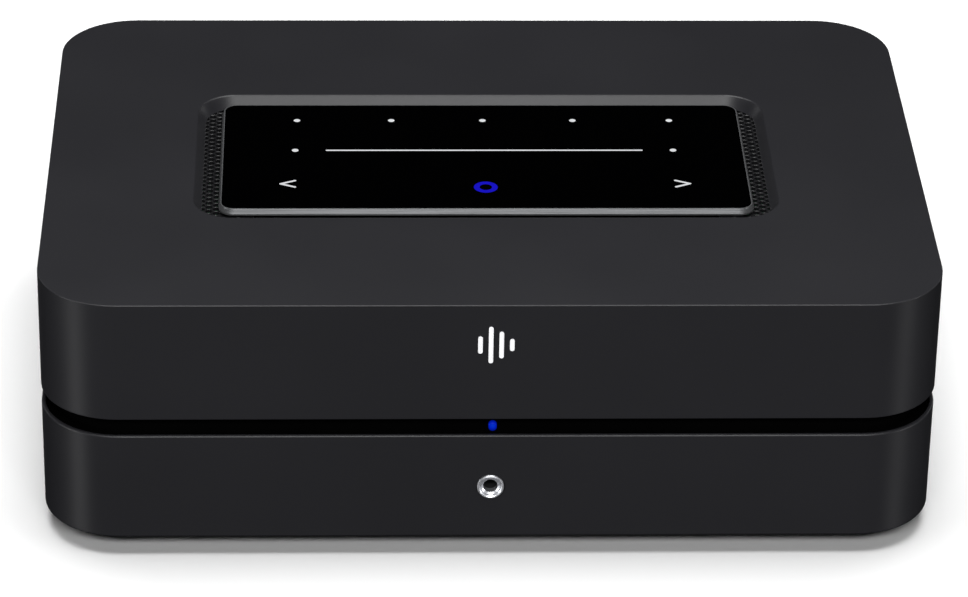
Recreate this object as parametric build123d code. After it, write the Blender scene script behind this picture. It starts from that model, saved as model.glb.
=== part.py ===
"""Compact wireless audio receiver and amplifier.

Two stacked shells with a dark shadow gap between them, a glass touch panel floating in a vented
recess on top, a headphone socket and a status light in front, and the sockets and speaker posts
on a steel panel at the back.  The boards, power supply and radio parts are inside.

Millimetres.  +Z is up, the front faces -Y, and the origin is the centre of the foot's bottom face.
"""
import math
import os

from build123d import *

# Outer body
WIDTH = 220.0
DEPTH = 158.0
HEIGHT = 70.0
CORNER = 19.45
FOOT = 5.0
GAP_LOW = 33.8
GAP_HIGH = 38.4
WALL = 2.2
ROOF = 3.0
FLOOR = 2.5
TOP_EDGE = 0.25
RIM_EDGE = 0.25
LIP_EDGE = 0.5
BASE_EDGE = 0.6

# Recess and touch panel
OPEN_W = 146.2
OPEN_D = 67.9
OPEN_Y = -0.25
OPEN_R = 10.0
OPEN_SLOPE = 2.0
OPEN_EDGE = 0.5
PANEL_Y = 0.15
BEZEL_W = 133.8
BEZEL_D = 58.5
BEZEL_R = 3.9
BEZEL_RIM = 0.75
BEZEL_SLOPE = 0.5
BEZEL_TOP = HEIGHT - 0.5
BEZEL_TALL = 1.65
BEZEL_FOOT = 0.4
GLASS = 1.3
INLAY = 0.3
CARRIER_INSET = 1.6

# Touch symbols, measured from the middle of the body
DOT_R = 0.84
DOT_ROW_Y = 20.0
PRESETS_X = (-47.6, -23.3, 0.25, 23.5, 48.5)
SLIDER_X = 0.25
SLIDER_Y = 3.2
SLIDER_HALF = 40.1
SLIDER_DOT_X = 48.2
SLIDER_THICK = 0.68
STROKE = 0.75
ARROW_Y = -15.2
ARROW_TIP_X = 51.85
ARROW_LONG = 3.9
ARROW_HALF = 1.72
RING_Y = -17.05
RING_OUT = 3.0
RING_IN = 1.55

# Vent grilles
GRILLE_THICK = 0.8
GRILLE_IN = 58.0
GRILLE_OUT = 76.0
HOLE_R = 0.86
HOLE_PITCH = 2.17
HOLE_EDGE = 0.14

# Inner frame behind the shadow gap
FRAME_INSET = 4.2
FRAME_WALL = 2.0
FRAME_LOW = 28.0
TRAY_LOW = 41.0
TRAY_HIGH = 42.5
LIP = 0.9
LIP_DROP = 2.4
LEDGE_LOW = GAP_LOW - LIP_DROP
LEDGE_HIGH = 32.3

# Front controls
MARK_X = 0.8
LED_X = 0.4
LED_Z = 34.4
LED_WIDE = 2.0
LED_TALL = 2.5
PHONE_Z = 19.3
PHONE_R = 3.3
PHONE_GROOVE = 0.2
JACK_BORE = 1.8
FRONT_PCB_Y = -63.9

# Boards
PCB = 1.6
LOW_PCB = 12.0
MAIN_PCB = 44.5
LOW_TOP = LOW_PCB + PCB
MAIN_TOP = MAIN_PCB + PCB
BOARD_IN = 8.0
BOARD_OUT = 86.0

# Rear panel and sockets
PANEL_THICK = 1.2
REAR_OUT = DEPTH / 2 - WALL
REAR_IN = REAR_OUT - PANEL_THICK
NOTCH_HALF = 84.0
NOTCH_LOW = 9.0
NOTCH_HIGH = 62.0
SOCKET_Z = 20.6
POST_X = (-70.0, -51.0, -28.0, -9.0)
INLET_X = 60.0
LAN_X = -69.0
USB_X = -48.0
HDMI_X = -26.0
AUDIO_X = -4.0
BUTTON_X = 16.0
SUB_X = 36.0
UPPER_Z = 51.2

# Speaker post
STUD_R = 3.4
STUD_END = 94.5
BANANA_R = 2.0
BANANA_DEEP = 18.0
NUT_GAP = 0.08
KNOB_R = 6.4
KNOB_LOW = 80.2
KNOB_HIGH = 93.6

# Fixings
CASE_X = 92.0
CASE_Y = 62.0
INSERT_Y = 40.0
SCREW_R = 1.45
HEAD_R = 2.75
PILOT_R = 1.5


def box(x, y, z):
    """Block between the two limits given for each axis."""
    size = Box(x[1] - x[0], y[1] - y[0], z[1] - z[0])
    return Pos((x[0] + x[1]) / 2, (y[0] + y[1]) / 2, (z[0] + z[1]) / 2) * size


def slab(width, depth, low, high, radius, y=0.0):
    """Upright prism with a rounded-rectangle plan."""
    return Pos(0, y, low) * extrude(RectangleRounded(width, depth, radius), high - low)


def inset_slab(inset, low, high):
    """Prism that follows the body's outline, inset by a constant distance."""
    return slab(WIDTH - 2 * inset, DEPTH - 2 * inset, low, high, CORNER - inset)


def post(x, y, low, high, radius):
    """Upright cylinder between two heights."""
    return Pos(x, y, (low + high) / 2) * Cylinder(radius, high - low)


def barrel(x, z, back, front, radius):
    """Cylinder along Y between two depths."""
    return Pos(x, (back + front) / 2, z) * Rot(90, 0, 0) * Cylinder(radius, front - back)


def turned(x, z, points):
    """Body turned about a line along Y, from a half profile of (depth, radius) points."""
    profile = Plane.XY * make_face(Polyline([(r, y) for y, r in points], close=True))
    return Pos(x, 0, z) * revolve(profile, Axis.Y)


def corners(half_x, half_y):
    """The four corners of a rectangle about the origin."""
    return [(sx * half_x, sy * half_y) for sx in (-1, 1) for sy in (-1, 1)]


def add(body, pieces):
    """Body with every piece joined on."""
    for piece in pieces:
        body = body + piece
    return body


def cut(body, pieces):
    """Body with every piece taken away."""
    for piece in pieces:
        body = body - piece
    return body


def save(name, *solids):
    """Write one node: a single solid, or a group of separate ones."""
    shape = solids[0] if len(solids) == 1 else Compound(list(solids))
    export_step(shape, f"parts/{name}.step")


# Shells

def badge_bars():
    """Generic level-meter mark: four upright bars of different heights."""
    heights = (4.6, 9.9, 7.2, 3.2)
    step = 2.55
    first = -1.5 * step
    middle = HEIGHT - 10.8
    bars = []
    for i, tall in enumerate(heights):
        bar = RectangleRounded(1.1, tall, 0.5)
        at = (MARK_X + first + i * step, -DEPTH / 2 + 0.4, middle)
        face = Plane(origin=at, x_dir=(1, 0, 0), z_dir=(0, -1, 0))
        bars.append(extrude(face * bar, 0.65))
    return bars


def rear_notch(low, high):
    """Window through the rear wall that the panel shows in."""
    return box((-NOTCH_HALF, NOTCH_HALF), (70, 80), (low, high))


def top_shell():
    """Upper casing with the sloped opening for the touch panel."""
    shell = inset_slab(0, GAP_HIGH, HEIGHT)
    shell = fillet(shell.faces().sort_by(Axis.Z)[-1].edges(), TOP_EDGE)
    shell = fillet(shell.faces().sort_by(Axis.Z)[0].edges(), RIM_EDGE)
    shell -= inset_slab(WALL, GAP_HIGH, HEIGHT - ROOF)
    low = RectangleRounded(OPEN_W - 2 * OPEN_SLOPE, OPEN_D - 2 * OPEN_SLOPE, OPEN_R - OPEN_SLOPE)
    high = RectangleRounded(OPEN_W, OPEN_D, OPEN_R)
    shell -= loft([Pos(0, OPEN_Y, HEIGHT - ROOF) * low, Pos(0, OPEN_Y, HEIGHT) * high])
    rim = shell.faces().sort_by(Axis.Z)[-1].inner_wires()[0].edges()
    shell = fillet(rim, OPEN_EDGE)
    shell -= rear_notch(GAP_HIGH - 1, NOTCH_HIGH)
    bosses = [post(x, y, TRAY_HIGH, HEIGHT - ROOF, 4.0) for x, y in corners(CASE_X, CASE_Y)]
    pilots = [post(x, y, TRAY_HIGH, 60, PILOT_R) for x, y in corners(CASE_X, CASE_Y)]
    return cut(add(shell, bosses), pilots + badge_bars())


def bottom_shell():
    """Lower casing: floor, walls with a stepped lip, screw posts and board bosses."""
    shell = inset_slab(0, FOOT, GAP_LOW)
    shell = fillet(shell.faces().sort_by(Axis.Z)[0].edges(), BASE_EDGE)
    shell = fillet(shell.faces().sort_by(Axis.Z)[-1].edges(), LIP_EDGE)
    shell -= inset_slab(WALL, FOOT + FLOOR, GAP_LOW)
    shell -= inset_slab(LIP, LEDGE_LOW, GAP_LOW)
    shell -= rear_notch(NOTCH_LOW, GAP_LOW + 1)
    shell -= barrel(0, PHONE_Z, -80, -76, PHONE_R + PHONE_GROOVE)
    floor = FOOT + FLOOR
    posts = [post(x, y, floor, TRAY_LOW, 4.2) for x, y in corners(CASE_X, CASE_Y)]
    bosses = [post(x, y, floor, LOW_PCB, 3.0) for x, y in low_board_holes()]
    front = [barrel(x, 15.0, -DEPTH / 2 + WALL, FRONT_PCB_Y, 2.6) for x in (-12, 12)]
    insert_boss = post(0, INSERT_Y, floor, 16, 7)
    shell = add(shell, posts + bosses + front + [insert_boss])
    through = [post(x, y, FOOT, TRAY_LOW, PILOT_R) for x, y in corners(CASE_X, CASE_Y)]
    sinks = [post(x, y, FOOT, 8.5, 3.1) for x, y in corners(CASE_X, CASE_Y)]
    pilots = [post(x, y, floor, LOW_PCB, PILOT_R) for x, y in low_board_holes()]
    front_pilots = [barrel(x, 15.0, -72, FRONT_PCB_Y, PILOT_R) for x in (-12, 12)]
    seat = post(0, INSERT_Y, FOOT, 14.2, 4.5) + post(0, INSERT_Y, FOOT, FOOT + 0.8, 6.0)
    return cut(shell, through + sinks + pilots + front_pilots + [seat])


def foot_pad():
    """Rubber foot with shallow grip grooves near its edges and a hole for the bracket insert."""
    pad = slab(WIDTH - 16, DEPTH - 16, 0, FOOT, CORNER - 6)
    pad = chamfer(pad.faces().sort_by(Axis.Z)[0].edges(), 0.8)
    pad -= post(0, INSERT_Y, -1, FOOT + 1, 8)
    grooves = [box((-80, 80), (side * y - 0.75, side * y + 0.75), (-1, 0.6))
               for side in (-1, 1) for y in (52, 57, 62)]
    return cut(pad, grooves)


def bracket_insert():
    """Flanged brass insert with the thread for a wall bracket's screw."""
    body = post(0, INSERT_Y, FOOT, 14, 4.45) + post(0, INSERT_Y, FOOT, FOOT + 0.8, 5.9)
    return body - post(0, INSERT_Y, FOOT, 14, 2.6)


def waist_frame():
    """Black plastic inner frame: the wall behind the shadow gap, two flanges and the board tray."""
    wall = inset_slab(FRAME_INSET, FRAME_LOW, TRAY_LOW)
    wall -= inset_slab(FRAME_INSET + FRAME_WALL, FRAME_LOW, TRAY_LOW)
    lower = inset_slab(LIP + 0.1, LEDGE_LOW, LEDGE_HIGH)
    lower -= inset_slab(FRAME_INSET + FRAME_WALL, LEDGE_LOW, LEDGE_HIGH)
    upper = inset_slab(WALL + 0.1, TRAY_LOW - 1.4, TRAY_LOW)
    upper -= inset_slab(FRAME_INSET + FRAME_WALL, TRAY_LOW - 1.4, TRAY_LOW)
    tray = inset_slab(FRAME_INSET, TRAY_LOW, TRAY_HIGH)
    bosses = [post(x, y, TRAY_HIGH, MAIN_PCB, 3.0) for x, y in main_board_holes()]
    frame = add(wall, [lower, upper, tray] + bosses)
    windows = [box((side * 20, side * 72)[::side], (-44, 60), (TRAY_LOW - 1, TRAY_HIGH + 1))
               for side in (-1, 1)]
    rear = [box((-89.5, 89.5), (70, 80), (FRAME_LOW - 1, TRAY_HIGH + 1))]
    screws = [post(x, y, TRAY_LOW - 1, TRAY_HIGH + 1, PILOT_R) for x, y in corners(CASE_X, CASE_Y)]
    pilots = [post(x, y, TRAY_LOW, MAIN_PCB, PILOT_R) for x, y in main_board_holes()]
    light = [light_slot(0.05, -76, -70)]
    return cut(frame, windows + rear + screws + pilots + light)


def light_slot(gap, front, back):
    """Upright oval bar along Y at the status light, enlarged all round by a gap."""
    face = Plane(origin=(LED_X, front, LED_Z), x_dir=(0, 0, 1), z_dir=(0, 1, 0))
    return extrude(face * SlotOverall(LED_TALL + 2 * gap, LED_WIDE + 2 * gap), back - front)


def rear_panel():
    """Steel panel behind the rear window, with a hole for every socket."""
    panel = box((-88, 88), (REAR_IN, REAR_OUT), (8, 63.5))
    holes = [barrel(x, SOCKET_Z, 70, 80, 4.6) for x in POST_X]
    holes += [box((INLET_X - 12.2, INLET_X + 12.2), (70, 80), (LOW_TOP - 0.2, 27.8))]
    holes += [box((LAN_X - 8.2, LAN_X + 8.2), (70, 80), (MAIN_TOP - 0.2, 59.8))]
    holes += [box((USB_X - 6.8, USB_X + 6.8), (70, 80), (MAIN_TOP - 0.2, 52.1))]
    holes += [box((HDMI_X - 7.7, HDMI_X + 7.7), (70, 80), (MAIN_TOP - 0.2, 51.9))]
    holes += [barrel(AUDIO_X, UPPER_Z, 70, 80, 3.1)]
    holes += [barrel(BUTTON_X, UPPER_Z, 70, 80, 2.0)]
    holes += [barrel(SUB_X, UPPER_Z + 1.8, 70, 80, 4.25)]
    holes += [barrel(x, z, 70, 80, PILOT_R) for x, z in rear_screw_places()]
    return cut(panel, holes)


def rear_screw_places():
    """Places of the rear panel's screws, as (x, z)."""
    return [(x, z) for x in (-80.8, 10, 80.8) for z in (13.5, 58.5)]


# Recess and touch panel

def inside_rounded(x, y, width, depth, radius):
    """True where a point is inside a rounded rectangle about the origin."""
    dx = max(abs(x) - (width / 2 - radius), 0)
    dy = max(abs(y) - (depth / 2 - radius), 0)
    return math.hypot(dx, dy) <= radius and abs(x) <= width / 2 and abs(y) <= depth / 2


def grille_holes():
    """Staggered grid of hole centres in the right-hand part of the recess round the panel."""
    step = HOLE_PITCH * math.sqrt(3) / 2
    well = (OPEN_W - 2 * OPEN_SLOPE + 1, OPEN_D - 2 * OPEN_SLOPE + 1)
    clear = 2 * (HOLE_R + 0.1)
    places = []
    for column in range(7):
        x = 71.2 - column * step
        for row in range(-16, 17):
            y = (row + 0.5 * (column % 2)) * HOLE_PITCH
            shown = inside_rounded(x, y - OPEN_Y, well[0], well[1], 8.5)
            under = inside_rounded(x, y - PANEL_Y, BEZEL_W - 3 + clear, BEZEL_D - 3 + clear, 3)
            if shown and not under:
                places.append((x, y))
    return places


def vent_grille(side):
    """Perforated steel strip with countersunk holes, beside the touch panel on the side given by its sign."""
    sheet = box((GRILLE_IN, GRILLE_OUT), (-38, 38), (HEIGHT - ROOF - GRILLE_THICK, HEIGHT - ROOF))
    inner = BEZEL_W / 2 - CARRIER_INSET + 0.2
    sheet -= box((GRILLE_IN - 1, inner), (PANEL_Y - 28, PANEL_Y + 28), (60, 70))
    top = HEIGHT - ROOF
    holes = Sketch() + [Pos(x, y) * Circle(HOLE_R) for x, y in grille_holes()]
    sheet -= Pos(0, 0, top - GRILLE_THICK) * extrude(holes, GRILLE_THICK)
    sheet -= Pos(0, 0, top - HOLE_EDGE) * extrude(holes, HOLE_EDGE, taper=-45)
    return sheet if side > 0 else mirror(sheet, Plane.YZ)


def well_tray():
    """Plastic tray under the opening that carries the grilles and the touch panel."""
    low = 60.2
    high = HEIGHT - ROOF - GRILLE_THICK
    tray = slab(164, 84, low, high, 10) - slab(152.6, 76.6, low + 1.8, high, 8)
    vents = [box((side * 66, side * 75)[::side], (-30, 30), (low - 1, low + 3)) for side in (-1, 1)]
    flex = box((-12, 12), (-4, 6), (low - 1, low + 3))
    pilots = [post(x, y, low, high - 1, 1.0) for x, y in corners(79, 39)]
    return cut(tray, vents + [flex] + pilots)


def panel_slab(inset, low, high):
    """Prism that follows the touch panel's outline, inset by a constant distance."""
    radius = max(BEZEL_R - inset, 1.0)
    return slab(BEZEL_W - 2 * inset, BEZEL_D - 2 * inset, low, high, radius, PANEL_Y)


def touch_carrier():
    """Black light box under the glass, with a tunnel for every symbol and a pocket for its board."""
    low = 62.0
    high = BEZEL_TOP - BEZEL_TALL
    carrier = panel_slab(CARRIER_INSET, low, high)
    carrier -= panel_slab(5.0, low, high - 2.0)
    tunnels = [post(x, y, low, high, 1.6) for x, y in dot_places()]
    line = box((-SLIDER_HALF, SLIDER_HALF), (SLIDER_Y - 1, SLIDER_Y + 1), (low, high))
    tunnels += [Pos(SLIDER_X, 0, 0) * line]
    tunnels += [box((side * 47, side * 53)[::side], (ARROW_Y - 3, ARROW_Y + 3), (low, high))
                for side in (-1, 1)]
    tunnels += [post(0, RING_Y, low, high, 3.6)]
    return cut(carrier, tunnels)


def touch_bezel():
    """Slim metal frame round the glass: an upright foot, sloped sides, a flat rim and a ledge."""
    low = BEZEL_TOP - BEZEL_TALL
    bend = low + BEZEL_FOOT
    wide = RectangleRounded(BEZEL_W, BEZEL_D, BEZEL_R)
    slim = RectangleRounded(BEZEL_W - 2 * BEZEL_SLOPE, BEZEL_D - 2 * BEZEL_SLOPE, BEZEL_R - BEZEL_SLOPE)
    rim = panel_slab(0, low, bend)
    rim += loft([Pos(0, PANEL_Y, bend) * wide, Pos(0, PANEL_Y, BEZEL_TOP) * slim])
    rim -= panel_slab(BEZEL_RIM, BEZEL_TOP - GLASS, BEZEL_TOP)
    return rim - panel_slab(2.2, low, BEZEL_TOP)


def dot_places():
    """Centres of the seven dots: five presets and the two ends of the slider."""
    presets = [(x, DOT_ROW_Y) for x in PRESETS_X]
    return presets + [(SLIDER_X + side * SLIDER_DOT_X, SLIDER_Y) for side in (-1, 1)]


def stroke(start, end, thick, low, high):
    """Straight round-ended line between two points, standing between two heights."""
    length = math.dist(start, end)
    turn = math.degrees(math.atan2(end[1] - start[1], end[0] - start[0]))
    middle = Pos((start[0] + end[0]) / 2, (start[1] + end[1]) / 2, low)
    return middle * Rot(0, 0, turn) * extrude(SlotOverall(length + thick, thick), high - low)


def arrow(side, low, high):
    """Open arrow head that points outwards on the side given by its sign."""
    tip = (side * (ARROW_TIP_X - STROKE / 2), ARROW_Y)
    ends = [(side * (ARROW_TIP_X - ARROW_LONG), ARROW_Y + turn * ARROW_HALF) for turn in (-1, 1)]
    return stroke(tip, ends[0], STROKE, low, high) + stroke(tip, ends[1], STROKE, low, high)


def touch_icons(low, high):
    """White light windows set into the glass: dots, slider line and two arrow heads."""
    dots = [post(x, y, low, high, DOT_R) for x, y in dot_places()]
    ends = [(SLIDER_X + side * SLIDER_HALF, SLIDER_Y) for side in (-1, 1)]
    line = stroke(ends[0], ends[1], SLIDER_THICK, low, high)
    return dots + [line, arrow(-1, low, high), arrow(1, low, high)]


def play_ring(low, high):
    """Blue ring window of the play key."""
    return post(0, RING_Y, low, high, RING_OUT) - post(0, RING_Y, low, high, RING_IN)


def touch_glass():
    """Black cover glass, pocketed for the light windows."""
    top = BEZEL_TOP
    glass = panel_slab(BEZEL_RIM, top - GLASS, top)
    return cut(glass, touch_icons(top - INLAY, top) + [play_ring(top - INLAY, top)])


def touch_pcb():
    """Touch sensor board inside the carrier."""
    return panel_slab(5.4, 63.4, 64.6)


def touch_leds():
    """Small lamps on the touch board: one under each symbol and eight under the slider line."""
    places = dot_places() + [(-49.5, ARROW_Y), (49.5, ARROW_Y), (0, RING_Y)]
    places += [(-35 + 10 * i, SLIDER_Y) for i in range(8)]
    return [box((x - 0.8, x + 0.8), (y - 0.5, y + 0.5), (64.6, 65.3)) for x, y in places]


def touch_flex():
    """Flat flexible cable from the touch board down to the main board."""
    points = [(-20, 46.25), (-14, 46.25), (4, 54.0), (4, 63.25), (-4, 63.25)]
    path = FilletPolyline([(y, z) for y, z in points], radius=1.6)
    ribbon = trace(path, 0.3)
    return extrude(Plane.YZ.offset(-8) * ribbon, 16)


# Boards and what stands on them

def main_board_holes():
    """Fixing holes of the main board."""
    return corners(76, 50) + [(0, -48), (7, 64)]


def low_board_holes():
    """Fixing holes of the amplifier and power boards."""
    return [(side * x, y) for side in (-1, 1) for x in (13, 81) for y in (-52, 58)]


def main_pcb():
    """Streaming and control board on the tray."""
    board = box((-80, 80), (-62, 73), (MAIN_PCB, MAIN_TOP))
    holes = [post(x, y, MAIN_PCB, MAIN_TOP, 1.6) for x, y in main_board_holes()]
    return cut(board, holes)


def low_pcb(side):
    """Board on the floor, on the side given by its sign."""
    board = box((side * BOARD_IN, side * BOARD_OUT)[::side], (-58, 66), (LOW_PCB, LOW_TOP))
    holes = [post(x, y, LOW_PCB, LOW_TOP, 1.6) for x, y in low_board_holes() if x * side > 0]
    return cut(board, holes)


def can(x, y, low, high, wall):
    """Pressed metal can, open below."""
    outer = box(x, y, (low, high))
    inner = box((x[0] + wall, x[1] - wall), (y[0] + wall, y[1] - wall), (low, high - wall))
    return outer - inner


def wifi_module():
    """Radio module: a small board with its own can."""
    return box((34, 56), (-34, -14), (MAIN_TOP, 47.1)) + box((35, 51), (-33, -15), (47.1, 49.1))


def antenna(side):
    """Stamped aerial strip on the inner face of the frame's side wall."""
    face = WIDTH / 2 - FRAME_INSET - FRAME_WALL
    strip = box((side * (face - 0.6), side * face)[::side], (-26, 26), (29, 40))
    return strip - box((side * 100, side * 106)[::side], (-18, 14), (32, 34))


def heatsink():
    """Finned aluminium block over the amplifier chips."""
    base = box((-78, -16), (-34, 14), (19.2, 22.2))
    fins = [box((x - 0.75, x + 0.75), (-34, 14), (22.2, 39.6)) for x in range(-76, -15, 5)]
    legs = [box(x, (-34, 14), (LOW_TOP, 19.2)) for x in ((-78, -76), (-18, -16))]
    return add(base, fins + legs)


def amp_chips():
    """Four class-D output chips under the heatsink."""
    return [box((x - 5, x + 5), (-17, -3), (LOW_TOP, 19.2)) for x in (-68, -54, -40, -26)]


def inductor(x, y):
    """Ring core wound with wire, lying on the board."""
    ring = Pos(x, y, LOW_TOP + 4) * Torus(6.2, 2.6)
    return ring + post(x, y, LOW_TOP, LOW_TOP + 2, 5)


def transformer_coil():
    """Wound bobbin between the core's legs."""
    coil = box((34, 64), (-20, 14), (16.6, 35))
    coil = fillet(coil.edges().filter_by(Axis.Z), 6)
    base = box((36, 62), (-22, 16), (LOW_TOP, 16.6))
    return coil + base - box((30, 68), (-9.2, 3.2), (20.4, 31.4))


def transformer_core():
    """Ferrite core: a closed loop round the bobbin and its middle leg."""
    loop = box((28, 70), (-9, 3), (16.6, 35.2)) - box((33.6, 64.4), (-10, 4), (LOW_TOP, 38))
    bridge = [box((28, 70), (-9, 3), (35.2, 38.2)), box((34, 64), (-9, 3), (20.6, 31.2))]
    return loop + bridge[0], bridge[1]


def capacitor(x, y):
    """Upright electrolytic capacitor with a rolled neck."""
    body = post(x, y, LOW_TOP, 38, 8.0)
    neck = post(x, y, LOW_TOP + 2.4, LOW_TOP + 3.6, 9) - post(x, y, LOW_TOP + 2.4, LOW_TOP + 3.6, 7.4)
    return fillet((body - neck).faces().sort_by(Axis.Z)[-1].edges(), 0.8)


def mains_choke():
    """Common-mode choke: two windings on one ring core, standing on a small base."""
    ring = Pos(38, 42, 26) * Rot(90, 0, 0) * Torus(7.0, 3.6)
    return ring + box((30, 46), (38, 46), (LOW_TOP, 20))


# Front

def phone_jack_ring():
    """Polished ring of the headphone socket: a rounded rim, a shallow step and a countersunk bore."""
    front = -DEPTH / 2 - 0.4
    back = -DEPTH / 2 + WALL
    profile = [(front, 2.8), (front, 3.0), (front + 0.1, 3.2), (front + 0.3, PHONE_R), (back, PHONE_R),
               (back, JACK_BORE), (front + 0.8, JACK_BORE), (front + 0.4, 2.25), (front + 0.4, 2.45),
               (front + 0.12, 2.65)]
    return turned(0, PHONE_Z, profile)


def phone_jack_body():
    """Moulded body of the headphone socket."""
    body = box((-4.8, 4.8), (-DEPTH / 2 + WALL, FRONT_PCB_Y), (PHONE_Z - 5, PHONE_Z + 5))
    return body - barrel(0, PHONE_Z, -80, -65.2, JACK_BORE)


def front_pcb():
    """Small upright board for the headphone socket and the status light."""
    board = box((-16, 16), (FRONT_PCB_Y, FRONT_PCB_Y + PCB), (10, 38.5))
    return cut(board, [barrel(x, 15.0, -65, -60, 1.6) for x in (-12, 12)])


def status_light_pipe():
    """Clear oval rod that brings the status light out into the gap, with a rounded end."""
    rod = light_slot(0, -75.9, -66.4)
    return fillet(rod.faces().sort_by(Axis.Y)[0].edges(), 0.4)


# Rear sockets

def ac_inlet():
    """Two-pole mains inlet with a figure-eight shaped well."""
    low = LOW_TOP
    high = 27.6
    body = box((INLET_X - 12, INLET_X + 12), (54, 78.4), (low, high))
    body = fillet(body.edges().filter_by(Axis.Y), 1.2)
    face = Plane(origin=(INLET_X, 78.4, SOCKET_Z), x_dir=(-1, 0, 0), z_dir=(0, 1, 0))
    body -= extrude(face * SlotOverall(16.4, 8.6), -13.4)
    return cut(body, [barrel(INLET_X + x, SOCKET_Z, 60, 70, 1.2) for x in (-4.3, 4.3)])


def ac_inlet_pins():
    """The inlet's two round pins."""
    return [fillet(barrel(INLET_X + x, SOCKET_Z, 60, 76.4, 1.18).faces().sort_by(Axis.Y)[-1].edges(), 0.6)
            for x in (-4.3, 4.3)]


def lan_jack():
    """Network socket: a shielded block with a stepped mouth."""
    body = box((LAN_X - 8, LAN_X + 8), (56, 77.6), (MAIN_TOP, 59.6))
    mouth = box((LAN_X - 6, LAN_X + 6), (64.5, 78), (49.6, 58.0))
    latch = box((LAN_X - 3.2, LAN_X + 3.2), (64.5, 78), (47.4, 49.6))
    return body - mouth - latch


def usb_port():
    """USB host port: a folded shell with a contact tongue."""
    body = box((USB_X - 6.6, USB_X + 6.6), (63, 77.6), (MAIN_TOP, 51.9))
    body -= box((USB_X - 6.2, USB_X + 6.2), (65, 78), (MAIN_TOP + 0.4, 51.5))
    return body + box((USB_X - 5.6, USB_X + 5.6), (64, 76.4), (49.4, 51.5))


def hdmi_port():
    """Display and television port: a shell with bevelled lower corners and a contact tongue."""
    body = box((HDMI_X - 7.5, HDMI_X + 7.5), (66, 77.6), (MAIN_TOP, 51.7))
    well = box((HDMI_X - 7.0, HDMI_X + 7.0), (68, 78), (MAIN_TOP + 0.5, 51.2))
    well = chamfer(well.faces().sort_by(Axis.Z)[0].edges().filter_by(Axis.Y), 1.4)
    return body - well + box((HDMI_X - 5.4, HDMI_X + 5.4), (67, 76.6), (48.9, 50.1))


def audio_in_jack():
    """Combined optical and analogue input: a block with a round nose and a 3.5 mm bore."""
    body = box((AUDIO_X - 4.5, AUDIO_X + 4.5), (62, REAR_IN), (MAIN_TOP, 56.4))
    body += barrel(AUDIO_X, UPPER_Z, REAR_IN, 77.8, 3.0)
    return body - barrel(AUDIO_X, UPPER_Z, 64, 78, JACK_BORE)


def sub_out_core():
    """Insulator of the subwoofer socket with its centre contact hole."""
    z = UPPER_Z + 1.8
    body = box((SUB_X - 5, SUB_X + 5), (64, REAR_IN - 0.8), (MAIN_TOP, 59))
    body += barrel(SUB_X, z, REAR_IN - 0.8, 84.6, 3.3)
    return body - barrel(SUB_X, z, 73, 85, 1.6)


def sub_out_shell():
    """Plated collar that a phono plug grips, with a flange against the panel."""
    z = UPPER_Z + 1.8
    collar = barrel(SUB_X, z, REAR_IN - 0.8, 86.4, 4.15) + barrel(SUB_X, z, REAR_OUT, 77.8, 5.4)
    collar = collar - barrel(SUB_X, z, REAR_IN - 0.8, 86.4, 3.35)
    return chamfer(collar.faces().sort_by(Axis.Y)[-1].edges(), 0.2)


def setup_button():
    """Push button of the set-up switch, held behind the panel by its flange."""
    cap = fillet(barrel(BUTTON_X, UPPER_Z, 74.6, 78.0, 1.7).faces().sort_by(Axis.Y)[-1].edges(), 0.4)
    return cap + barrel(BUTTON_X, UPPER_Z, 74.6, 75.3, 2.7)


def setup_switch():
    """Body of the set-up switch, standing on the main board."""
    return box((BUTTON_X - 3.2, BUTTON_X + 3.2), (67, 73.5), (MAIN_TOP, 54.4))


def post_stud(x):
    """Threaded stud of a speaker post, bored for a banana plug, with a cross hole and a tail."""
    stud = barrel(x, SOCKET_Z, 62, STUD_END, STUD_R)
    stud = chamfer(stud.faces().sort_by(Axis.Y)[-1].edges(), 0.4)
    stud -= barrel(x, SOCKET_Z, STUD_END - BANANA_DEEP, STUD_END + 1, BANANA_R)
    stud += box((x - 1.5, x + 1.5), (60, 65), (LOW_TOP, SOCKET_Z))
    return stud


def post_base(x):
    """Insulating collar between the stud and the steel panel."""
    profile = [(73.2, 3.45), (73.2, 4.55), (REAR_OUT, 4.55), (REAR_OUT, 7.2), (79.0, 7.2),
               (79.6, 6.6), (79.6, 3.45)]
    return turned(x, SOCKET_Z, profile)


def post_nut(x):
    """Metal nut inside the knob, running on the stud's thread."""
    inner = STUD_R + NUT_GAP
    profile = [(KNOB_LOW + 0.4, inner), (KNOB_LOW + 0.4, 4.9), (91.4, 4.9), (91.4, inner)]
    return turned(x, SOCKET_Z, profile)


def post_knob(x):
    """Finger knob of a speaker post, with twelve grip flutes and an open end for a plug."""
    profile = [(KNOB_LOW, 4.95), (KNOB_LOW, 6.0), (KNOB_LOW + 0.5, KNOB_R), (KNOB_HIGH - 0.8, KNOB_R),
               (KNOB_HIGH, 5.6), (KNOB_HIGH, 3.75), (91.6, 3.75), (91.6, 4.95)]
    knob = turned(x, SOCKET_Z, profile)
    count = 12
    reach = KNOB_R + 0.55
    for i in range(count):
        angle = 2 * math.pi * i / count
        dx = reach * math.cos(angle)
        dz = reach * math.sin(angle)
        knob -= barrel(x + dx, SOCKET_Z + dz, KNOB_LOW + 1.6, KNOB_HIGH + 1, 1.0)
    return knob


# Screws

def screw(x, y, head, tip, head_tall=1.8):
    """Pan-head screw along Z, head at one height and its tip at another."""
    direction = 1 if tip > head else -1
    top = head - direction * head_tall
    cap = post(x, y, min(head, top), max(head, top), HEAD_R)
    shaft = post(x, y, min(head, tip), max(head, tip), SCREW_R)
    arms = ((1.6, 0.3), (0.3, 1.6))
    slots = [box((x - a, x + a), (y - b, y + b), (top - 0.9, top + 0.9)) for a, b in arms]
    return cut(cap + shaft, slots)


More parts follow.
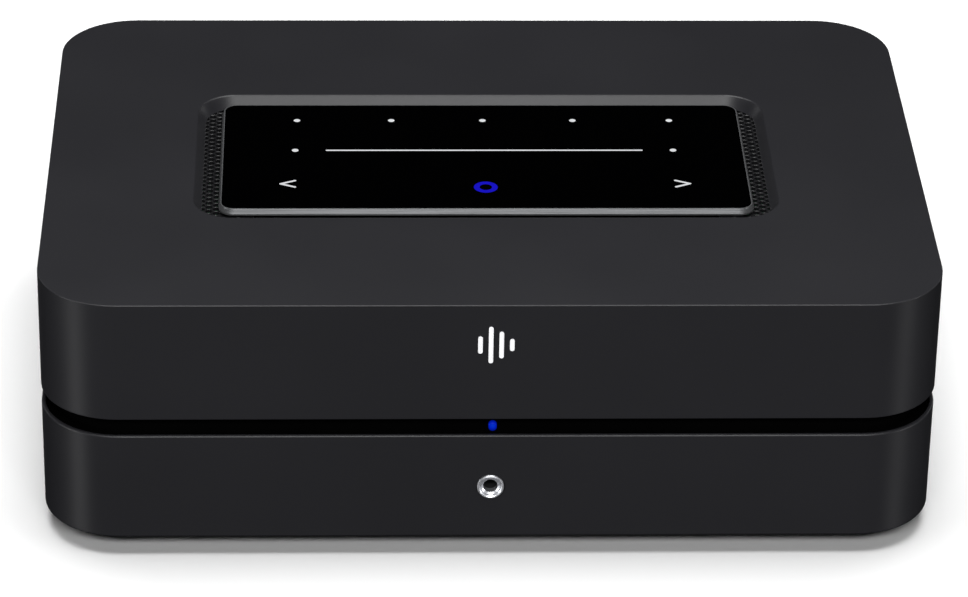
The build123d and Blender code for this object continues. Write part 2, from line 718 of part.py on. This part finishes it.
def side_screw(x, z, head, tip):
    """Pan-head screw along Y with a cross recess, head at one depth and its tip at another."""
    direction = 1 if tip > head else -1
    top = head - direction * 1.2
    cap = barrel(x, z, min(head, top), max(head, top), 2.6)
    cap = fillet(cap.faces().sort_by(Axis.Y)[-1 if top > head else 0].edges(), 0.5)
    shaft = barrel(x, z, min(head, tip), max(head, tip), SCREW_R)
    arms = ((1.5, 0.28), (0.28, 1.5))
    slots = [box((x - a, x + a), (top - 0.7, top + 0.7), (z - b, z + b)) for a, b in arms]
    return cut(cap + shaft, slots)


def case_screws():
    """Four long screws through the floor, and the six of the rear panel."""
    long_screws = [screw(x, y, 8.5, 56) for x, y in corners(CASE_X, CASE_Y)]
    rear = [side_screw(x, z, REAR_OUT, REAR_IN - 3) for x, z in rear_screw_places()]
    return long_screws + rear


def board_screws():
    """Screws of the main, amplifier, power and front boards."""
    main = [screw(x, y, MAIN_TOP, TRAY_LOW + 0.2) for x, y in main_board_holes()]
    low = [screw(x, y, LOW_TOP, FOOT + FLOOR + 0.2) for x, y in low_board_holes()]
    front = [side_screw(x, 15.0, FRONT_PCB_Y + PCB, -70) for x in (-12, 12)]
    return main + low + front


def build():
    """Make every node and write it."""
    os.makedirs("parts", exist_ok=True)
    save("top_shell", top_shell())
    save("bottom_shell", bottom_shell())
    save("foot_pad", foot_pad())
    save("bracket_insert", bracket_insert())
    save("waist_frame", waist_frame())
    save("rear_panel", rear_panel())
    save("front_badge", *badge_bars())
    save("vent_grille_left", vent_grille(-1))
    save("vent_grille_right", vent_grille(1))
    save("well_tray", well_tray())
    save("touch_carrier", touch_carrier())
    save("touch_bezel", touch_bezel())
    save("touch_glass", touch_glass())
    save("touch_icons", *touch_icons(BEZEL_TOP - INLAY, BEZEL_TOP))
    save("play_ring", play_ring(BEZEL_TOP - INLAY, BEZEL_TOP))
    save("touch_pcb", touch_pcb())
    save("touch_leds", *touch_leds())
    save("touch_flex", touch_flex())
    save("main_pcb", main_pcb())
    save("processor_shield", can((-56, -18), (-24, 12), MAIN_TOP, 49.6, 0.4))
    save("wifi_module", wifi_module())
    save("antenna_left", antenna(-1))
    save("antenna_right", antenna(1))
    save("amp_pcb", low_pcb(-1))
    save("heatsink", heatsink())
    save("amp_chips", *amp_chips())
    save("output_inductors", *[inductor(x, 34) for x in (-68, -52, -36, -20)])
    save("power_pcb", low_pcb(1))
    save("insulating_sheet", box((16, 78), (-48, 54), (FOOT + FLOOR, FOOT + FLOOR + 0.4)))
    save("transformer_coil", transformer_coil())
    save("transformer_core", *transformer_core())
    save("bulk_capacitors", *[capacitor(x, -42) for x in (26, 46, 66)])
    save("mains_choke", mains_choke())
    save("front_pcb", front_pcb())
    save("phone_jack_ring", phone_jack_ring())
    save("phone_jack_body", phone_jack_body())
    save("status_light_pipe", status_light_pipe())
    save("status_led", box((-1.6, 1.6), (-66.3, FRONT_PCB_Y), (LED_Z - 1.6, LED_Z + 1.6)))
    save("ac_inlet", ac_inlet())
    save("ac_inlet_pins", *ac_inlet_pins())
    save("lan_jack", lan_jack())
    save("usb_port", usb_port())
    save("hdmi_port", hdmi_port())
    save("audio_in_jack", audio_in_jack())
    save("sub_out_core", sub_out_core())
    save("sub_out_shell", sub_out_shell())
    save("setup_button", setup_button())
    save("setup_switch", setup_switch())
    save("post_studs", *[post_stud(x) for x in POST_X])
    save("post_bases", *[post_base(x) for x in POST_X])
    for number, x in enumerate(POST_X, start=1):
        save(f"post_nut_{number}", post_nut(x))
        save(f"post_knob_{number}", post_knob(x))
    save("case_screws", *case_screws())
    save("board_screws", *board_screws())


build()
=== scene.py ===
"""Looks of the compact wireless audio receiver: materials, small rear details, studio and camera.

Metres.  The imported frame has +Z up, the front facing -Y, and the origin under the foot's middle.
"""
import math

import bmesh
import bpy
from mathutils import Matrix, Vector


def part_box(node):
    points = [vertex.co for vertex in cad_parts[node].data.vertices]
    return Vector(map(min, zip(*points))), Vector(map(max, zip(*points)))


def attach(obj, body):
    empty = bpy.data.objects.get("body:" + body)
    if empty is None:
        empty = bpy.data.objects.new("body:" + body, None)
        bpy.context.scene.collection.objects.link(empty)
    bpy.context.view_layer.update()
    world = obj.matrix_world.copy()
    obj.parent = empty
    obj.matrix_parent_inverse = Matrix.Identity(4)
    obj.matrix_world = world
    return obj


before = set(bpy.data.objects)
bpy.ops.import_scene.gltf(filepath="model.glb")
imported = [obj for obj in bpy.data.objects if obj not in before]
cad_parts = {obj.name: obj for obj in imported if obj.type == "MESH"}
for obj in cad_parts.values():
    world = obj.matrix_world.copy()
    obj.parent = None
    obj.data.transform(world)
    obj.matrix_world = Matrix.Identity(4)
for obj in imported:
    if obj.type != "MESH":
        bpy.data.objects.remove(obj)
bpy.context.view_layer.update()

MM = 0.001

# Camera, in the frame's axes
CAMERA_AT = Vector((-0.03871, -1.01976, 0.59480))
CAMERA_YAW = math.radians(-2.2125)
CAMERA_PITCH = math.radians(29.047)
CAMERA_ROLL = math.radians(0.9917)
CAMERA_LENS = 167.71
CAMERA_SENSOR = 36.0
CLIP_NEAR = 0.05
CLIP_FAR = 20.0

# The part of its range that a noise node mostly keeps to
NOISE_LOW = 0.3
NOISE_HIGH = 0.7

# Status light: how far the glow's centre sits above the rod's middle, and the glow's radius
# as a share of the rod's height
GLOW_RISE = 0.4 * MM
GLOW_SHARE = 0.66

# Network socket: contact wires under its roof, tilted by an angle in radians, and two signal
# windows in its lower corners
WIRE_COUNT = 8
WIRE_PITCH = 1.02 * MM
WIRE_SIZE = (0.42 * MM, 8.6 * MM, 0.3 * MM)
WIRE_TILT = 0.42
WIRE_BACK = 6.6 * MM
WIRE_DROP = 3.6 * MM
WINDOW_OUT = 7.0 * MM
WINDOW_RISE = 1.5 * MM
WINDOW_SIZE = (1.2 * MM, 0.3 * MM, 1.9 * MM)

# Digital ports: the tongue in each and the contact strips on it, set back from the port's mouth
USB_TONGUE_BACK = 7.3 * MM
USB_TONGUE_DROP = 1.46 * MM
USB_TONGUE_SIZE = (11.3 * MM, 12.3 * MM, 2.14 * MM)
USB_STRIP_COUNT = 4
USB_STRIP_PITCH = 2.4 * MM
USB_STRIP_BACK = 7.0 * MM
USB_STRIP_DROP = 2.56 * MM
USB_STRIP_SIZE = (0.9 * MM, 10.6 * MM, 0.12 * MM)
HDMI_TONGUE_BACK = 5.75 * MM
HDMI_TONGUE_RISE = 3.4 * MM
HDMI_TONGUE_SIZE = (10.9 * MM, 9.6 * MM, 1.3 * MM)
HDMI_STRIP_COUNT = 10
HDMI_STRIP_PITCH = 1.0 * MM
HDMI_STRIP_BACK = 5.4 * MM
HDMI_STRIP_OUT = 0.67 * MM
HDMI_STRIP_SIZE = (0.42 * MM, 8.2 * MM, 0.1 * MM)

# Speaker posts, the red ones, and the plus and minus signs over them
POSTS = (1, 2, 3, 4)
RED_POSTS = (2, 4)
SIGN_RISE = 3.2 * MM
SIGN_SKIN = 0.01 * MM
SIGN_LONG = 2.2 * MM
SIGN_THIN = 0.42 * MM
SIGN_THICK = 0.05 * MM

# Rounding of the small pieces' edges
BEVEL = 0.06 * MM
STRIP_BEVEL = 0.03 * MM
SIGN_BEVEL = 0.01 * MM

# Floor, just under the foot, and the dim surround
FLOOR_SIZE = 4.0
FLOOR_AT = (0, 0.6, -0.0002)
FLOOR_GREY = (0.80, 0.80, 0.80)
SURROUND_COLOUR = (0.9, 0.92, 1.0, 1.0)
SURROUND_STRENGTH = 0.008

# Each light's name, place, aim, width, height and power, and whether it leaves the floor out
MIDDLE = (0, 0, 0.04)
FRONT_LEFT = (-0.06, -0.079, 0.04)
FRONT_RIGHT = (0.06, -0.079, 0.04)
LIGHTS = (
    ("key_top", (0, 0.05, 1.1), MIDDLE, 0.9, 0.8, 21, False),
    ("key_front", (0, -1.3, 1.0), MIDDLE, 1.0, 0.3, 14, False),
    ("fill_front", (0, -1.3, 1.0), MIDDLE, 1.0, 0.3, 21, True),
    ("side_left", (-1.0, -0.42, 0.08), FRONT_LEFT, 0.4, 0.3, 5, True),
    ("side_right", (1.0, -0.42, 0.08), FRONT_RIGHT, 0.4, 0.3, 3.5, True),
    ("table_left", (-0.91, -0.48, -0.43), (-0.1, -0.07, 0.03), 0.3, 0.5, 1.2, False),
    ("table_right", (0.91, -0.48, -0.43), (0.1, -0.07, 0.03), 0.3, 0.5, 0.7, False),
    ("table_front", (0, -1.0, -0.45), MIDDLE, 1.4, 0.3, 0.5, False),
    ("table_rear", (0, 1.1, -0.22), MIDDLE, 1.5, 0.5, 4.5, False),
    ("rear_left", (-1.2, 0.9, 0.45), MIDDLE, 0.4, 0.5, 1.3, False),
    ("rear_right", (1.2, 0.9, 0.45), MIDDLE, 0.4, 0.5, 1.3, False),
)


# Node helpers

class Surface:
    """One material being put together round a single principled shader."""

    def __init__(self, name, colour, roughness, metallic=0.0, specular=0.5):
        self.material = bpy.data.materials.new(name)
        self.material.use_nodes = True
        self.nodes = self.material.node_tree.nodes
        self.links = self.material.node_tree.links
        self.shader = self.nodes["Principled BSDF"]
        self.set("Base Color", (*colour, 1.0))
        self.set("Roughness", roughness)
        self.set("Metallic", metallic)
        self.set("Specular IOR Level", specular)
        self.place = self.nodes.new("ShaderNodeTexCoord").outputs["Object"]

    def set(self, socket, value):
        """Fix a value on the shader's own socket."""
        self.shader.inputs[socket].default_value = value

    def join(self, source, socket):
        """Feed a shader socket from a node's output."""
        self.links.new(source, self.shader.inputs[socket])

    def stretched(self, scale):
        """Object coordinates scaled along each axis."""
        node = self.nodes.new("ShaderNodeMapping")
        node.inputs["Scale"].default_value = scale
        self.links.new(self.place, node.inputs["Vector"])
        return node.outputs["Vector"]

    def noise(self, scale, detail, place=None, distortion=0.0):
        """Smooth noise, mostly between NOISE_LOW and NOISE_HIGH."""
        node = self.nodes.new("ShaderNodeTexNoise")
        node.inputs["Scale"].default_value = scale
        node.inputs["Detail"].default_value = detail
        node.inputs["Distortion"].default_value = distortion
        self.links.new(place or self.place, node.inputs["Vector"])
        return node.outputs["Fac"]

    def cells(self, scale, place=None):
        """Distance to the nearest point of a random cell pattern."""
        node = self.nodes.new("ShaderNodeTexVoronoi")
        node.inputs["Scale"].default_value = scale
        self.links.new(place or self.place, node.inputs["Vector"])
        return node.outputs["Distance"]

    def span(self, source, low, high, start=NOISE_LOW, end=NOISE_HIGH):
        """Map a source from start..end to low..high."""
        node = self.nodes.new("ShaderNodeMapRange")
        node.inputs["From Min"].default_value = start
        node.inputs["From Max"].default_value = end
        node.inputs["To Min"].default_value = low
        node.inputs["To Max"].default_value = high
        self.links.new(source, node.inputs["Value"])
        return node.outputs["Result"]

    def ramp(self, source, *stops):
        """Colour ramp of (position, colour) stops."""
        node = self.nodes.new("ShaderNodeValToRGB")
        elements = node.color_ramp.elements
        elements[0].position, elements[0].color = stops[0][0], (*stops[0][1], 1.0)
        elements[1].position, elements[1].color = stops[-1][0], (*stops[-1][1], 1.0)
        for position, colour in stops[1:-1]:
            elements.new(position).color = (*colour, 1.0)
        self.links.new(source, node.inputs["Fac"])
        return node.outputs["Color"]

    def bump(self, source, depth, strength):
        """Raise the surface by a source, over a depth in metres."""
        node = self.nodes.new("ShaderNodeBump")
        node.inputs["Distance"].default_value = depth
        node.inputs["Strength"].default_value = strength
        self.links.new(source, node.inputs["Height"])
        old = self.shader.inputs["Normal"].links
        if old:
            self.links.new(old[0].from_socket, node.inputs["Normal"])
        self.join(node.outputs["Normal"], "Normal")

    def vary(self, source, colour, change):
        """Base colour that gets darker and lighter with a source."""
        low = tuple(c * (1 - change) for c in colour)
        high = tuple(c * (1 + change) for c in colour)
        self.join(self.ramp(source, (NOISE_LOW, low), (NOISE_HIGH, high)), "Base Color")


# Materials

def shell_paint():
    """Satin black shell: a fine moulded grain and slow, faint changes of gloss."""
    colour = (0.0088, 0.0088, 0.0102)
    s = Surface("shell_paint", colour, 0.39, specular=0.22)
    s.vary(s.noise(14, 3), colour, 0.07)
    s.join(s.span(s.noise(22, 4), 0.37, 0.42), "Roughness")
    s.bump(s.noise(2600, 2), depth=0.01 * MM, strength=0.35)
    return s.material


def inner_black():
    """Matt black plastic behind the gap and under the recess, its colour darkened to near zero as
    painted shade there.
    """
    # Near-zero base colour: painted shade of the gap and the recess, darker than the black plastic
    # itself
    colour = (0.0004, 0.0004, 0.0004)
    s = Surface("inner_black", colour, 0.85, specular=0.01)
    s.vary(s.noise(60, 2), colour, 0.2)
    s.bump(s.noise(1800, 2), depth=0.02 * MM, strength=0.3)
    return s.material


def glass_black():
    """Back-printed cover glass with the faintest smears in its polish."""
    s = Surface("glass_black", (0.00005, 0.00005, 0.00007), 0.04, specular=0.1)
    smears = s.noise(1, 4, s.stretched((35, 90, 35)), 1.5)
    s.join(s.span(smears, 0.03, 0.075), "Roughness")
    return s.material


def bezel_metal():
    """Brushed, dark anodised bezel: grain along its long sides."""
    colour = (0.108, 0.110, 0.114)
    s = Surface("bezel_metal", colour, 0.38, metallic=0.75)
    grain = s.noise(1, 3, s.stretched((60, 5200, 5200)))
    s.vary(grain, colour, 0.16)
    s.join(s.span(grain, 0.33, 0.45), "Roughness")
    s.bump(grain, depth=0.006 * MM, strength=0.5)
    return s.material


def grille_paint():
    """Painted perforated steel."""
    colour = (0.004, 0.004, 0.0045)
    s = Surface("grille_paint", colour, 0.3, specular=0.5)
    s.vary(s.noise(400, 3), colour, 0.15)
    s.bump(s.noise(3000, 2), depth=0.01 * MM, strength=0.4)
    return s.material


def foot_rubber():
    """Dusty black rubber with a pebbled skin."""
    colour = (0.014, 0.014, 0.014)
    s = Surface("foot_rubber", colour, 0.82, specular=0.25)
    s.vary(s.noise(180, 4), colour, 0.3)
    s.bump(s.cells(900), depth=0.08 * MM, strength=0.6)
    return s.material


def powder_coat():
    """Fine black powder coat of the rear panel."""
    colour = (0.016, 0.016, 0.017)
    s = Surface("powder_coat", colour, 0.55, specular=0.4)
    s.vary(s.noise(90, 3), colour, 0.12)
    s.bump(s.noise(1500, 3), depth=0.04 * MM, strength=0.5)
    return s.material


def plain_metal(name, colour, roughness, grain_scale, change=0.12, metallic=1.0):
    """Metal with fine tool marks in colour and gloss."""
    s = Surface(name, colour, roughness, metallic=metallic)
    grain = s.noise(grain_scale, 4)
    s.vary(grain, colour, change)
    s.join(s.span(grain, roughness * 0.8, roughness * 1.25), "Roughness")
    s.bump(grain, depth=0.004 * MM, strength=0.4)
    return s.material


def badge_silver():
    """Bright satin silver of the front mark."""
    colour = (0.86, 0.86, 0.88)
    s = Surface("badge_silver", colour, 0.34, metallic=0.25)
    grain = s.noise(1, 3, s.stretched((5000, 5000, 120)))
    s.vary(grain, colour, 0.08)
    s.bump(grain, depth=0.004 * MM, strength=0.4)
    return s.material


def moulded(name, colour, roughness, specular=0.45):
    """Moulded plastic with a faint orange-peel skin."""
    s = Surface(name, colour, roughness, specular=specular)
    s.vary(s.noise(70, 3), colour, 0.12)
    s.join(s.span(s.noise(300, 3), roughness * 0.85, roughness * 1.15), "Roughness")
    s.bump(s.noise(900, 2), depth=0.01 * MM, strength=0.4)
    return s.material


def lit(name, colour, strength):
    """Lit window: an even glow with a slightly uneven diffuser."""
    s = Surface(name, tuple(c * 0.02 for c in colour), 0.4, specular=0.1)
    haze = s.noise(1500, 2)
    brighter = tuple(min(c * 1.15, 1.0) for c in colour)
    s.join(s.ramp(haze, (0.35, colour), (0.75, brighter)), "Emission Color")
    s.set("Emission Strength", strength)
    return s.material


def status_blue():
    """Status light: a paler middle in a deep blue rod end."""
    s = Surface("status_blue", (0.0, 0.001, 0.01), 0.3, specular=0.06)
    low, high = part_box("status_light_pipe")
    centre = ((low[0] + high[0]) / 2, low[1], (low[2] + high[2]) / 2 + GLOW_RISE)
    offset = s.nodes.new("ShaderNodeVectorMath")
    offset.operation = "SUBTRACT"
    offset.inputs[1].default_value = centre
    s.links.new(s.place, offset.inputs[0])
    length = s.nodes.new("ShaderNodeVectorMath")
    length.operation = "LENGTH"
    s.links.new(offset.outputs[0], length.inputs[0])
    reach = s.span(length.outputs["Value"], 0.0, 1.0, 0.0, (high[2] - low[2]) * GLOW_SHARE)
    pale, deep, dim = (0.002, 0.032, 0.54), (0.0, 0.013, 0.48), (0.0, 0.002, 0.08)
    s.join(s.ramp(reach, (0.0, pale), (0.45, deep), (1.0, dim)), "Emission Color")
    s.set("Emission Strength", 1.0)
    return s.material


def circuit_board():
    """Green solder mask with faint copper tracks and pads under it."""
    colour = (0.008, 0.055, 0.022)
    s = Surface("circuit_board", colour, 0.35, specular=0.5)
    tracks = s.cells(260, s.stretched((1, 1, 0)))
    tint = s.ramp(tracks, (0.1, (0.03, 0.13, 0.05)), (0.25, colour), (1.0, (0.006, 0.045, 0.018)))
    s.join(tint, "Base Color")
    s.bump(tracks, depth=0.03 * MM, strength=0.3)
    return s.material


def windings():
    """Enamelled copper wire: fine turns round the coil."""
    colour = (0.42, 0.15, 0.05)
    s = Surface("windings", colour, 0.3, metallic=0.9)
    turns = s.noise(1, 1, s.stretched((200, 200, 4500)))
    s.vary(turns, colour, 0.3)
    s.bump(turns, depth=0.1 * MM, strength=0.7)
    return s.material


def dress(material, *nodes):
    """Give CAD nodes one material."""
    for name in nodes:
        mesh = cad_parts[name].data
        mesh.materials.clear()
        mesh.materials.append(material)


def dress_all():
    """Give every CAD node its material."""
    nickel = plain_metal("nickel", (0.62, 0.60, 0.56), 0.24, 700)
    polished = plain_metal("polished_ring", (0.57, 0.58, 0.61), 0.34, 500, 0.05, 0.9)
    black = moulded("socket_black", (0.012, 0.012, 0.013), 0.42)
    dress(shell_paint(), "top_shell", "bottom_shell")
    dress(inner_black(), "waist_frame", "well_tray", "touch_carrier")
    dress(glass_black(), "touch_glass")
    dress(bezel_metal(), "touch_bezel")
    dress(grille_paint(), "vent_grille_left", "vent_grille_right")
    dress(lit("icon_white", (0.66, 0.67, 0.69), 1.0), "touch_icons")
    dress(lit("ring_blue", (0.005, 0.003, 0.47), 1.0), "play_ring")
    dress(status_blue(), "status_light_pipe", "status_led")
    dress(badge_silver(), "front_badge")
    dress(polished, "phone_jack_ring")
    dress(black, "phone_jack_body", "ac_inlet", "audio_in_jack", "sub_out_core")
    dress(black, "setup_switch")
    dress(moulded("part_black", (0.015, 0.015, 0.016), 0.5), "amp_chips", "mains_choke")
    dress(foot_rubber(), "foot_pad")
    dress(plain_metal("insert_brass", (0.66, 0.46, 0.18), 0.3, 600), "bracket_insert")
    dress(powder_coat(), "rear_panel")
    dress(nickel, "ac_inlet_pins", "lan_jack", "usb_port", "hdmi_port", "sub_out_shell")
    dress(nickel, "post_studs", *[f"post_nut_{i}" for i in POSTS])
    dress(moulded("post_collar", (0.02, 0.02, 0.021), 0.4), "post_bases")
    red = moulded("knob_red", (0.30, 0.008, 0.008), 0.25, 0.6)
    dress(red, *[f"post_knob_{i}" for i in RED_POSTS])
    dark = moulded("knob_black", (0.012, 0.012, 0.012), 0.25, 0.6)
    dress(dark, *[f"post_knob_{i}" for i in POSTS if i not in RED_POSTS])
    dress(moulded("button_grey", (0.05, 0.05, 0.052), 0.4), "setup_button")
    dress(plain_metal("screw_black", (0.06, 0.06, 0.062), 0.35, 900), "case_screws", "board_screws")
    dress(circuit_board(), "main_pcb", "amp_pcb", "power_pcb", "front_pcb", "touch_pcb")
    dress(moulded("lamp_body", (0.6, 0.58, 0.45), 0.3), "touch_leds")
    dress(moulded("film_amber", (0.30, 0.22, 0.10), 0.3), "touch_flex", "insulating_sheet")
    dress(plain_metal("tinned_steel", (0.55, 0.55, 0.55), 0.3, 300), "processor_shield", "wifi_module")
    dress(plain_metal("aerial_metal", (0.6, 0.45, 0.2), 0.3, 300), "antenna_left", "antenna_right")
    dress(plain_metal("fin_aluminium", (0.45, 0.45, 0.46), 0.4, 200), "heatsink")
    dress(windings(), "output_inductors", "transformer_coil")
    dress(moulded("ferrite", (0.03, 0.03, 0.032), 0.6), "transformer_core")
    dress(moulded("capacitor_sleeve", (0.01, 0.014, 0.03), 0.3), "bulk_capacitors")


# Small rear details that ride on the case

def blocks(name, material, places, bevel=BEVEL):
    """Bevelled bars, each given by its centre, its size and its tilt about X, as one piece."""
    mesh = bpy.data.meshes.new(name)
    shape = bmesh.new()
    for centre, size, tilt in places:
        turn = Matrix.Translation(centre) @ Matrix.Rotation(tilt, 4, "X")
        bmesh.ops.create_cube(shape, size=1.0, matrix=turn @ Matrix.Diagonal((*size, 1.0)))
    bmesh.ops.bevel(shape, geom=shape.edges[:], offset=bevel, segments=2, profile=0.5, affect="EDGES")
    shape.to_mesh(mesh)
    shape.free()
    piece = bpy.data.objects.new(name, mesh)
    bpy.context.scene.collection.objects.link(piece)
    mesh.materials.append(material)
    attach(piece, "chassis")


def middle_of(node):
    """Middle of a CAD node's box."""
    low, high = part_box(node)
    return [(a + b) / 2 for a, b in zip(low, high)]


def row(count, pitch):
    """Evenly spaced steps along X, as many to either side of zero."""
    return [(i - (count - 1) / 2) * pitch for i in range(count)]


def network_details(gold):
    """Sprung contacts in the network socket and its two signal windows."""
    x = middle_of("lan_jack")[0]
    low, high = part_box("lan_jack")
    wires = []
    for step in row(WIRE_COUNT, WIRE_PITCH):
        place = (x + step, high[1] - WIRE_BACK, high[2] - WIRE_DROP)
        wires.append((place, WIRE_SIZE, WIRE_TILT))
    blocks("network_contacts", gold, wires)
    for side, colour in ((-1, (0.02, 0.30, 0.04)), (1, (0.45, 0.20, 0.01))):
        window = moulded(f"signal_window_{side + 1}", colour, 0.25)
        place = (x + side * WINDOW_OUT, high[1], low[2] + WINDOW_RISE)
        blocks(f"network_window_{side + 1}", window, [(place, WINDOW_SIZE, 0)])


def usb_details(gold, tongue):
    """Plastic tongue of the USB port and the contact strips under it."""
    x = middle_of("usb_port")[0]
    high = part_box("usb_port")[1]
    place = (x, high[1] - USB_TONGUE_BACK, high[2] - USB_TONGUE_DROP)
    blocks("usb_tongue", tongue, [(place, USB_TONGUE_SIZE, 0)])
    strips = []
    for step in row(USB_STRIP_COUNT, USB_STRIP_PITCH):
        place = (x + step, high[1] - USB_STRIP_BACK, high[2] - USB_STRIP_DROP)
        strips.append((place, USB_STRIP_SIZE, 0))
    blocks("usb_contacts", gold, strips, STRIP_BEVEL)


def hdmi_details(gold, tongue):
    """Plastic tongue of the HDMI port and the contact strips on both its sides."""
    x = middle_of("hdmi_port")[0]
    low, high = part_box("hdmi_port")
    level = low[2] + HDMI_TONGUE_RISE
    place = (x, high[1] - HDMI_TONGUE_BACK, level)
    blocks("hdmi_tongue", tongue, [(place, HDMI_TONGUE_SIZE, 0)])
    strips = []
    for step in row(HDMI_STRIP_COUNT, HDMI_STRIP_PITCH):
        for side in (-1, 1):
            place = (x + step, high[1] - HDMI_STRIP_BACK, level + side * HDMI_STRIP_OUT)
            strips.append((place, HDMI_STRIP_SIZE, 0))
    blocks("hdmi_contacts", gold, strips, STRIP_BEVEL)


def polarity_marks(ink):
    """Printed plus and minus signs over the speaker posts, as one piece."""
    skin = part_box("rear_panel")[1][1] + SIGN_SKIN
    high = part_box("post_bases")[1][2] + SIGN_RISE
    marks = []
    for number in POSTS:
        place = (middle_of(f"post_knob_{number}")[0], skin, high)
        marks.append((place, (SIGN_LONG, SIGN_THICK, SIGN_THIN), 0))
        if number in RED_POSTS:
            marks.append((place, (SIGN_THIN, SIGN_THICK, SIGN_LONG), 0))
    blocks("polarity_marks", ink, marks, SIGN_BEVEL)


def rear_details():
    """Every small piece at the sockets."""
    gold = plain_metal("contact_gold", (0.80, 0.55, 0.18), 0.22, 900)
    tongue = moulded("tongue_black", (0.012, 0.012, 0.013), 0.35)
    ink = moulded("printed_grey", (0.42, 0.42, 0.42), 0.6)
    network_details(gold)
    usb_details(gold, tongue)
    hdmi_details(gold, tongue)
    polarity_marks(ink)


# Studio

def floor():
    """Plain pale floor that isn't mirrored, bounces no light and casts no shadow."""
    bpy.ops.mesh.primitive_plane_add(size=FLOOR_SIZE, location=FLOOR_AT)
    plane = bpy.context.object
    plane.name = "floor"
    plane.data.materials.append(Surface("floor", FLOOR_GREY, 0.9, specular=0.0).material)
    plane.visible_glossy = False
    plane.visible_diffuse = False
    plane.visible_shadow = False
    return plane


def softbox(name, at, aim, width, height, power):
    """Rectangular studio light at a point, facing another."""
    data = bpy.data.lights.new(name, "AREA")
    data.shape = "RECTANGLE"
    data.size = width
    data.size_y = height
    data.energy = power
    lamp = bpy.data.objects.new(name, data)
    lamp.location = at
    lamp.rotation_euler = (Vector(aim) - Vector(at)).to_track_quat("-Z", "Y").to_euler()
    bpy.context.scene.collection.objects.link(lamp)
    return lamp


def skip_floor(lamp, plane):
    """Let a light reach everything but the floor."""
    group = bpy.data.collections.new(lamp.name + "_skips")
    group.objects.link(plane)
    lamp.light_linking.receiver_collection = group
    group.collection_objects[0].light_linking.link_state = "EXCLUDE"


def studio(plane):
    """Every light, and a dim surround."""
    for *placing, leaves_floor_out in LIGHTS:
        lamp = softbox(*placing)
        if leaves_floor_out:
            skip_floor(lamp, plane)
    world = bpy.data.worlds.new("surround")
    bpy.context.scene.world = world
    world.use_nodes = True
    background = world.node_tree.nodes["Background"]
    background.inputs["Color"].default_value = SURROUND_COLOUR
    background.inputs["Strength"].default_value = SURROUND_STRENGTH


def camera():
    """Long-lens camera, in front of the object and above it."""
    data = bpy.data.cameras.new("camera")
    data.sensor_width = CAMERA_SENSOR
    data.lens = CAMERA_LENS
    data.clip_start = CLIP_NEAR
    data.clip_end = CLIP_FAR
    shot = bpy.data.objects.new("camera", data)
    turn = Matrix.Rotation(CAMERA_YAW, 4, "Z")
    turn = turn @ Matrix.Rotation(math.pi / 2 - CAMERA_PITCH, 4, "X")
    turn = turn @ Matrix.Rotation(CAMERA_ROLL, 4, "Z")
    shot.matrix_world = Matrix.Translation(CAMERA_AT) @ turn
    bpy.context.scene.collection.objects.link(shot)
    bpy.context.scene.camera = shot


dress_all()
rear_details()
studio(floor())
camera()
bpy.context.scene.view_settings.view_transform = "Standard"
